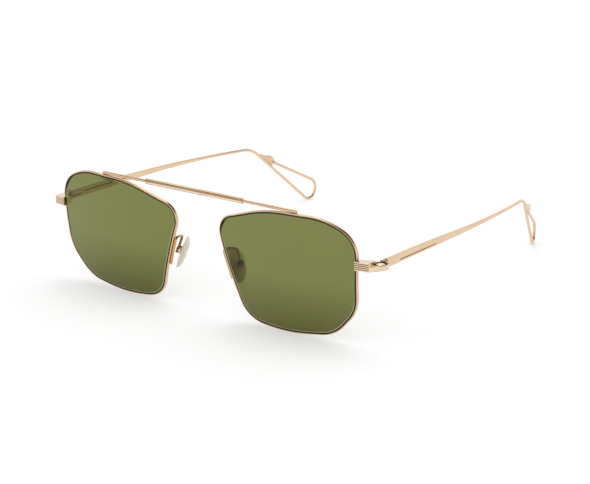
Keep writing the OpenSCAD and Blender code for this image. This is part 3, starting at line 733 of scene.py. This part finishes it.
def drumShells():
    ease, mid, lip = drum["ringEase"], drum["ringEase"] * easeMid, drum["bowlEase"]
    bowl, inside = drum["headD"] / 2 + drum["headGap"], drumR - drum["wallD"]
    half, gap = drum["h"] / 2, drum["slotH"] / 2
    floor = half - drum["headSink"]
    upper = [(0, gap), (drumR, gap), (drumR, half - ease), (drumR - mid, half - mid)]
    upper += [(drumR - ease, half), (bowl + lip, half), (bowl, half - lip), (bowl, floor), (0, floor)]
    lower = [(0, -half), (drumR - ease, -half), (drumR - mid, mid - half), (drumR, ease - half)]
    lower += [(drumR, -gap), (0, -gap)]
    top = lathe(upper)
    # the bowl is painted near black: painted shadow in the gap round the screw's head
    top[2].update({i: "recess" for i in range(facets * 6, len(top[1]))})  # the bowl for the screw's head
    wall = []
    section = [(drumR, -gap), (drumR, gap), (inside, gap), (inside, -gap)]
    for a in np.linspace(drum["wallFrom"], drum["wallTo"], drum["wallSteps"]):  # closed side of the slot
        wall.append([(*polar(r, a), z) for r, z in section])
    shells = [top, lathe(lower), sweep(wall)]
    for t in drum["teethAt"]:  # low knuckle teeth on the drum's rear edge
        turns = np.linspace(t - drum["toothHalf"], t + drum["toothHalf"], drum["toothSteps"])
        plan = [polar(drumR, a) for a in turns] + [polar(drumR - drum["toothDeep"], a) for a in turns[::-1]]
        shells.append(slab(np.array(plan), half - ease, half + drum["toothUp"], drum["toothEase"]))
    return [onHinge(s) for s in shells]


pair("end_piece", [blockShell()] + drumShells(), "front", "pale", 40)

# hinge screw: a polished dome in the drum
hingeScrew = dict(d=4.2, topD=2.9, shankD=1.5, edge=0.05, lip=0.02, dome=0.32, domeSteps=12, power=3)


def hingeScrewShell():
    r, topR, shankR = hingeScrew["d"] / 2, hingeScrew["topD"] / 2, hingeScrew["shankD"] / 2
    foot = -drum["h"] / 2
    low = drum["h"] / 2 - drum["headSink"] + front["seat"]
    high = low + hingeScrew["edge"]
    profile = [(0, foot), (shankR, foot), (shankR, low), (r, low)]
    profile += [(r, high), (topR + hingeScrew["lip"], high)]
    for i in range(hingeScrew["domeSteps"] + 1):
        f = 1 - i / hingeScrew["domeSteps"]
        profile.append((topR * f, high + hingeScrew["dome"] * (1 - f ** hingeScrew["power"])))
    head = lathe(profile)
    # the flat ring round the dome is painted near black: painted shadow in the gap round the head
    head[2].update({i: "recess" for i in range(facets * 4, facets * 6)})  # the flat ring round the dome
    return onHinge(head)


pair("hinge_screw", [hingeScrewShell()], "front", "pale", 40)
print("end pieces")

# temples: a flat strip that tapers into a wire, bends over the ear and ends in a loop
temple = dict(h=3.1, t=1.1, straight=43, long=103, bowR=325, droopR=2050, up=0.25, wire=1.15, earR=10.5,
              swing=0.3, square=0.35, rings=70, facets=28, sideGap=15, sideStop=13.0)
tip = dict(turn=20, lowReach=29.4, rearReach=32.5, rearUp=7, lowR=2.9, rearR=4.3, endReach=11.3, endDrop=7.4,
           step=4, gap=1.5, twist=12, point=1.8, pointTurns=(15, 30, 45, 60, 75, 85))
# engraved lines: where they start and end behind the hinge, their height, and their furthest turn in degrees
outLine = dict(start=9.7, end=33.6, up=0.52, limit=9)
inLine = dict(start=6.5, end=34, up=-0.25, limit=8)
line = dict(half=0.19, deep=0.14, spread=3)
wireR = temple["wire"] / 2


def templePoint(l):
    inwards = max(0, l - temple["straight"]) ** 2 / (2 * temple["bowR"])
    return hinge + vec(-inwards, l, temple["up"] - l * l / (2 * temple["droopR"]))


bend = templePoint(temple["long"])
tipAcross = vec(cosD(tip["turn"]), sinD(tip["turn"]), 0)


def tipPoint(s, z):
    return vec(bend[0] - s * sinD(tip["turn"]), bend[1] + s * cosD(tip["turn"]), z)


loopRear = tipPoint(tip["rearReach"], tip["rearUp"] - datum[2])
loopEnd = tipPoint(tip["endReach"], bend[2] - tip["endDrop"])
loopLow = tipPoint(tip["lowReach"], -datum[2])
for again in range(2):  # lowers the bottom corner until the wire touches the table
    arc = cornerArc(bend, loopLow, loopRear, tip["lowR"])[0]
    loopLow = loopLow - vec(0, 0, min(p[2] for p in arc) + datum[2] - wireR)
stripStart = drumR + temple["swing"]
stripEnd = temple["long"] - temple["earR"]
stripPath = [templePoint(l) for l in np.linspace(stripStart, stripEnd, temple["rings"] + 1)]
tipCorners = [stripPath[-1], bend, loopLow, loopRear, loopEnd]
tipRadii = [0, temple["earR"], tip["lowR"], tip["rearR"], 0]
tipPath = subdivided(roundedPath(tipCorners, tipRadii, tip["step"])[1:], tip["gap"])


# angle at which the section stands at height h, no further than limit
def heightAngle(h, b, m, limit):
    return math.copysign(min(limit, math.degrees(math.asin(min(1, (abs(h) / b) ** (1 / m))))), h)


def templeShell():
    path = stripPath + tipPath
    plain = [a for a in evenAngles(temple["facets"]) if abs((a + 90) % 180 - 90) > temple["sideGap"]]
    upper, lower = [a for a in plain if a < 180], [a for a in plain if a > 180]
    inMid = len(upper) + 5  # place of the inner line in a ring
    rings, cutOut, cutIn = [], [], []
    for i, p in enumerate(path):
        along = pathAlong(path, i) if i else vec(0, 1, 0)
        f = (1 - cosD(180 * min(1, i / temple["rings"]))) / 2
        a = temple["t"] / 2 + (wireR - temple["t"] / 2) * f
        b = temple["h"] / 2 + (wireR - temple["h"] / 2) * f
        m = temple["square"] + (1 - temple["square"]) * f
        onTip = easeIn((i - len(stripPath)) / tip["twist"])
        across = unit(vec(1, 0, 0) * (1 - onTip) + tipAcross * onTip)
        outAt, inAt = [], []
        for k in (-1, 0, 1):
            shift, spread = k * line["half"], k * line["spread"]
            outAt.append(heightAngle(outLine["up"] + shift, b, m, outLine["limit"] + spread))
            inAt.insert(0, 180 - heightAngle(inLine["up"] + shift, b, m, inLine["limit"] - spread))
        angles = outAt + [temple["sideStop"]] + upper + inAt + lower
        ring = sectionRing(p, along, across, a, b, m, angles)
        behind = p[1] - hinge[1]
        if outLine["start"] < behind < outLine["end"]:
            ring[1] = ring[1] - across * line["deep"]
            cutOut.append(i)
        if inLine["start"] < behind < inLine["end"]:
            ring[inMid] = ring[inMid] + across * line["deep"]
            cutIn.append(i)
        rings.append(ring)
    for t in tip["pointTurns"]:  # draws the wire's end out into the tab
        r = wireR * cosD(t)
        rings.append(sectionRing(path[-1] + along * tip["point"] * sinD(t), along, across, r, r, 1, angles))
    strip = sweep(rings)
    n = len(rings[0])
    # the faces of the engraved lines are painted dark brown as shade
    strip[2].update({i * n + j: "seam" for i in cutOut[:-1] for j in (0, 1)})
    strip[2].update({i * n + j: "seam" for i in cutIn[:-1] for j in (inMid - 1, inMid)})
    return strip


# tab that closes the loop: a leaf with a humped upper edge, drawn along and above the wire behind the bend
tab = dict(t=0.9, start=5, hump=5.7, h=3.9, dip=0.45, ease=0.3, root=0.3, humpR=2.6, lean=0.85,
           humpStep=8, jawStep=10, gap=0.5)
tabStart = vec(0, bend[2])
tabWire = unit(vec(tip["lowReach"], loopLow[2] - bend[2]))
tabUp = vec(-tabWire[1], tabWire[0])


def tabOutline():
    def at(along, up):
        return tabStart + tabWire * along + tabUp * up

    end = vec(tip["endReach"], loopEnd[2])
    endWire = unit(vec(tip["rearReach"], loopRear[2]) - end)
    endUp = vec(-endWire[1], endWire[0]) * wireR
    endAt = (end - tabStart) @ tabWire
    edge = wireR - tab["root"]
    root, step = at(tab["start"], edge), at(tab["start"], 1.5 * wireR)
    dip = at(tab["start"] + tab["hump"] * tab["dip"], tab["h"] / 2)
    hump = at(tab["start"] + tab["hump"], tab["h"])
    shoulder = end + endWire * tab["root"] + endUp
    jaw = end + endWire * tab["root"] - endUp
    apex, heel = at(endAt - wireR, 2 * wireR), at(endAt, edge)
    outline = [root, step] + cornerArc(step, dip, hump, 2 * tab["h"])[0]
    outline += cornerArc(dip, hump, shoulder, tab["humpR"], tab["humpStep"])[0]
    outline += [shoulder, jaw] + cornerArc(jaw, apex, heel, wireR, tab["jawStep"])[0] + [heel]
    outline = np.array(subdivided(outline + [root], tab["gap"])[:-1])
    after = np.roll(outline, -1, 0)
    area = np.sum(outline[:, 0] * after[:, 1] - after[:, 0] * outline[:, 1])
    return outline if area > 0 else outline[::-1]


def tabShell():
    def place(p):  # the leaf leans outwards from the wire
        lean = tab["lean"] * ((p[:2] - tabStart) @ tabUp) / tab["h"]
        return tipPoint(p[0], p[1]) + tipAcross * (p[2] + lean)

    return moved(slab(tabOutline(), -tab["t"] / 2, tab["t"] / 2, tab["ease"]), place)


pair("temple", [templeShell()], "{}_temple", "satin", 40)
pair("loop_tab", [tabShell()], "{}_temple", "satin", 50)

# hinge tongues: a disc in the drum's slot, and a riveted plate on the temple's inner face
tongue = dict(t=0.55, gap=0.1, holeR=0.8, discEase=0.05, webTrim=1.0, webEase=0.06,
              plateT=0.6, plateH=2.2, plateL=9, nearR=0.2, farR=0.9, cornerStep=12, ease=0.12)
rivet = dict(r=0.42, h=0.16, shoulderR=0.336, shoulderH=0.096, sink=0.02, first=1.6, last=1.5, facets=20)


def tongueShells():
    r, half, cut = drumR - drum["wallD"] - tongue["gap"], tongue["t"] / 2, tongue["discEase"]
    hole, trim = tongue["holeR"], tongue["webTrim"]
    disc = [(hole, -half), (r - cut, -half), (r, cut - half), (r, half - cut), (r - cut, half), (hole, half)]
    outer = -temple["t"] / 2 - front["seat"]
    inner = outer - tongue["plateT"]
    y0, y1 = stripStart, tongue["plateL"]
    web = np.array([(inner, trim), (outer, trim), (outer, y1 - trim), (inner, y1 - trim)])
    low, high = temple["up"] - tongue["plateH"] / 2, temple["up"] + tongue["plateH"] / 2
    corners = [vec(y0, low), vec(y1, low), vec(y1, high), vec(y0, high)]
    radii = [tongue["nearR"], tongue["farR"], tongue["farR"], tongue["nearR"]]
    plan = []
    for i in range(4):
        around = corners[i - 1], corners[i], corners[(i + 1) % 4]
        plan += cornerArc(*around, radii[i], tongue["cornerStep"])[0]
    plate = slab(np.array(plan), 0, tongue["plateT"], tongue["ease"])
    shells = [lathe(disc + disc[:1]), slab(web, -half, half, tongue["webEase"])]
    shells.append(moved(plate, lambda p: vec(inner + p[2], p[0], p[1])))
    dome = [(0, 0), (rivet["r"], 0), (rivet["shoulderR"], rivet["shoulderH"]), (0, rivet["h"])]
    dome = lathe(dome, rivet["facets"])
    for y in (y0 + rivet["first"], y1 - rivet["last"]):
        centre = vec(inner + rivet["sink"], y, temple["up"])
        shells.append(moved(dome, lambda p: centre + vec(-p[2], -p[0], p[1])))
    return [onHinge(s) for s in shells]


pair("hinge_tongue", tongueShells(), "{}_temple", "polished", 40)
print("temples")

# nose pads, with their boxes, screws and arms
pad = dict(long=12.4, wide=6.4, t=1.9, shift=0.6, lean=19, pitch=6, splay=27, lugL=0.9, layers=16, facets=56,
           roll=((0.0, 0.495), (0.0, 0.837), (0.02, 0.882)), domeFrom=0.1, domeSpread=0.7, power=2.6)
box = dict(lugT=1.1, run=0.05, wall=0.4, h=2.2, front=0.65, back=1.1, ease=0.12)
padScrew = dict(headD=1.5, headH=0.35, headEase=0.07, shankD=0.8, slot=0.2, sink=0.02, facets=32,
                headSteps=16)
arm = dict(d=0.9, foot=6.5, footUp=2.5, footR=1.8, up=5.7, over=0.8, turn=1.26, down=2.5, step=8, gap=0.6,
           facets=16)
padAxis = np.array(joints["pad_rock_left"]["pos_m"]) / mm - datum
boxW = box["lugT"] + 2 * box["run"] + 2 * box["wall"]


# a vector of the pad's frame in the part's frame
def padTurn(v):
    x, y, z = v
    x, y = turned(x, y, pad["splay"])
    z, x = turned(z, x, pad["lean"])
    y, z = turned(y, z, pad["pitch"])
    return vec(x, y, z)


def inPad(shell):
    return moved(shell, lambda p: padAxis + padTurn(p))


# oval pad: flat towards its box with a rolled edge, domed towards the nose
def padShell():
    layers, n = pad["layers"], pad["facets"]
    stops = [*pad["roll"]]
    for k in range(layers):
        f = pad["domeFrom"] + (1 - pad["domeFrom"]) * (k / layers) ** pad["domeSpread"]
        stops.append((f, math.sqrt(1 - f ** pad["power"])))
    turns = [360 * i / n for i in range(n)]
    rings = []
    for f, grow in stops:
        x, y, z = -pad["lugL"] - pad["t"] * f, grow * pad["wide"] / 2, grow * pad["long"] / 2
        rings.append([(x, y * sinD(a) - pad["shift"], z * cosD(a)) for a in turns])
    return inPad(sweep(rings))


# box: two cheeks and a back round the pad's lug
def boxShell():
    slot, w = box["lugT"] / 2 + box["run"], boxW / 2
    front0, back, inside = -box["front"], box["back"], box["back"] - box["wall"]
    plan = [(front0, -w), (back, -w), (back, w), (front0, w)]
    plan += [(front0, slot), (inside, slot), (inside, -slot), (front0, -slot)]
    return inPad(slab(np.array(plan), -box["h"] / 2, box["h"] / 2, box["ease"]))


# screw with a slotted head: a shank, a base and two half rounds beside the slot
def padScrewShells():
    r, shankR, slot = padScrew["headD"] / 2, padScrew["shankD"] / 2, padScrew["slot"]
    foot, base = -boxW / 2, boxW / 2 + front["seat"]
    top = base + padScrew["headH"]
    floor = top - slot
    profile = [(0, foot), (shankR, foot), (shankR, base), (r, base), (r, floor), (0, floor)]
    shells = [lathe(profile, padScrew["facets"])]
    cut = math.degrees(math.asin(slot / 2 / r))
    half = np.array([polar(r, a) for a in np.linspace(cut, 180 - cut, padScrew["headSteps"])])
    cheek = slab(half, floor - padScrew["sink"], top, padScrew["headEase"])
    shells += [cheek, moved(cheek, lambda p: p * vec(-1, -1, 1))]
    return [inPad(moved(s, lambda p: vec(p[0], -p[2], p[1]))) for s in shells]


# arm: a hairpin from the rim's nasal side to the top of the box
def armShell():
    r = arm["d"] / 2
    out = front["rimW"] + r + front["seat"]
    depth = front["rimD"] - front["rimLip"] - r

    def beside(v):
        return lensPoint(sideU(nasalSide, v, out), v, depth)

    footV = arm["footUp"] - arm["down"]
    topV = footV + arm["up"] - arm["footUp"]
    end = padAxis + padTurn((box["back"] - r, 0, box["h"] / 2 + front["seat"]))
    up = padTurn((0, 0, 1))
    over = end + up * (padAxis[2] + arm["up"] - r - end[2]) / up[2]
    corners = [beside(footV - arm["foot"]), beside(footV), beside(topV + arm["over"]), over, end]
    path = roundedPath(corners, [0, arm["footR"], arm["turn"], arm["turn"], 0], arm["step"])
    across = vec(cosD(pad["splay"]), -sinD(pad["splay"]), 0)
    return tube(subdivided(path, arm["gap"]), across, r, arm["facets"])


pads = pair("nose_pad", [padShell()], "{}_pad", "cream", 60)
# boxes and arms take the darker, more orange gold: painted shade and painted inter-reflection
pair("pad_box", [boxShell()], "front", "amber", 40)
pair("pad_screw", padScrewShells(), "front", "pale", 40)
pair("pad_arm", [armShell()], "front", "amber", 60)
print("nose pads")

# pieces that keep their own solids: inner trim
carried = {"lock_block": "polished", "lock_screw": "pale", "pad_core": "cream"}
for name, finish in carried.items():
    for side in sides:
        node = frame["nodes"][name + "_" + side]
        node.data.materials.clear()
        node.data.materials.append(finishes[finish])

# pale floor, soft light and a white surround
stage = dict(floorHalf=6.0, floorDrop=0.02 * mm, floorColour=(0.68, 0.68, 0.68), lift=0.34, skyLevel=0.92)
lamp = dict(place=(-0.25, 0.1, 1.0), size=0.7, watts=1.6)
# dark beam over the front of the white table, which polished metal shows as dark lines
beam = dict(towards=(-0.14, -0.33, 0.93), across=(-0.43, 0.87, 0.25), half=0.17, soft=0.14,
            endFrom=0.74, endTo=0.60, level=0.02)
# dark corner of the ceiling, to the right, in the upper rims
ceiling = dict(towards=(0.52, -0.05, 0.85), full=0.82, gone=0.60)
white = (1, 1, 1, 1)


def shownRays(g):
    kinds = ("Is Camera Ray", "Is Glossy Ray", "Is Transmission Ray")
    camera, glossy, through = [g.node("ShaderNodeLightPath", None, None, kind) for kind in kinds]
    return camera | glossy | through


def makeFloor():
    half = stage["floorHalf"]
    mesh = bpy.data.meshes.new("floor")
    corners = [(-half, -half, 0), (half, -half, 0), (half, half, 0), (-half, half, 0)]
    mesh.from_pydata(corners, [], [(0, 1, 2, 3)])
    floor = addObject("floor", mesh)
    floor.location.z = -stage["floorDrop"]
    material, g = newMaterial("paleFloor")
    diffuse = g.node("ShaderNodeBsdfDiffuse", None, {"Color": (*stage["floorColour"], 1)})
    glow = g.node("ShaderNodeEmission", None, {"Color": white, "Strength": stage["lift"] * shownRays(g)})
    closeMaterial(g, g.node("ShaderNodeAddShader", None, {0: diffuse, 1: glow}))
    mesh.materials.append(material)


def makeWorld():
    world = bpy.data.worlds.new("studio")
    bpy.context.scene.world = world
    world.use_nodes = True
    g = Graph(world.node_tree)
    plain = g.node("ShaderNodeBackground", None, {"Color": white, "Strength": stage["skyLevel"]})
    where = g.node("ShaderNodeTexCoord", None, None, "Generated")

    def along(direction):
        sockets = {0: where, 1: tuple(unit(vec(*direction)))}
        return g.node("ShaderNodeVectorMath", {"operation": "DOT_PRODUCT"}, sockets, "Value")

    def fall(value, low, high):
        sockets = {"Value": value, "From Min": high, "From Max": low}
        return g.node("ShaderNodeMapRange", {"interpolation_type": "SMOOTHSTEP"}, sockets)

    onBeam = fall(abs(along(beam["across"])), beam["half"], beam["half"] + beam["soft"])
    dark = onBeam * fall(along(beam["towards"]), beam["endFrom"], beam["endTo"])
    dark = dark | fall(along(ceiling["towards"]), ceiling["full"], ceiling["gone"])
    light = 1 - (1 - beam["level"]) * dark
    shown = g.node("ShaderNodeBackground", None, {"Color": white, "Strength": light})
    mixed = g.node("ShaderNodeMixShader", None, {0: shownRays(g), 1: plain, 2: shown})
    g.node("ShaderNodeOutputWorld", None, {"Surface": mixed})


def makeLamp():
    data = bpy.data.lights.new("keyLamp", "AREA")
    data.energy = lamp["watts"]
    data.size = lamp["size"]
    made = addObject("keyLamp", data)
    made.location = lamp["place"]
    made.rotation_mode = "QUATERNION"
    made.rotation_quaternion = (-Vector(lamp["place"])).to_track_quat("-Z", "Y")


# camera at the photograph's viewing angle, about the lens datum; its focal length is in pixels
shot = dict(focal=1800, imageW=590, sensor=36, near=0.01, azimuth=35.943, elevation=17.233, roll=0.149,
            far=606.37, across=33.155, up=4.396)


def makeCamera():
    a, e = shot["azimuth"], shot["elevation"]
    level = vec(cosD(a), sinD(a), 0)
    back = vec(sinD(a) * cosD(e), -cosD(a) * cosD(e), sinD(e))
    right, up = turned(level, np.cross(back, level), shot["roll"])
    data = bpy.data.cameras.new("camera")
    data.sensor_fit = "HORIZONTAL"
    data.sensor_width = shot["sensor"]
    data.lens = shot["focal"] / shot["imageW"] * shot["sensor"]
    data.clip_start = shot["near"]
    camera = addObject("camera", data)
    place = np.eye(4)
    place[:3, :3] = np.stack([right, up, back], 1)
    place[:3, 3] = (datum + right * shot["across"] + up * shot["up"] + back * shot["far"]) * mm
    camera.matrix_world = Matrix(place.tolist())
    bpy.context.scene.camera = camera


makeFloor()
makeWorld()
makeLamp()
makeCamera()
bpy.context.scene.view_settings.view_transform = "Standard"
print("stage and camera")
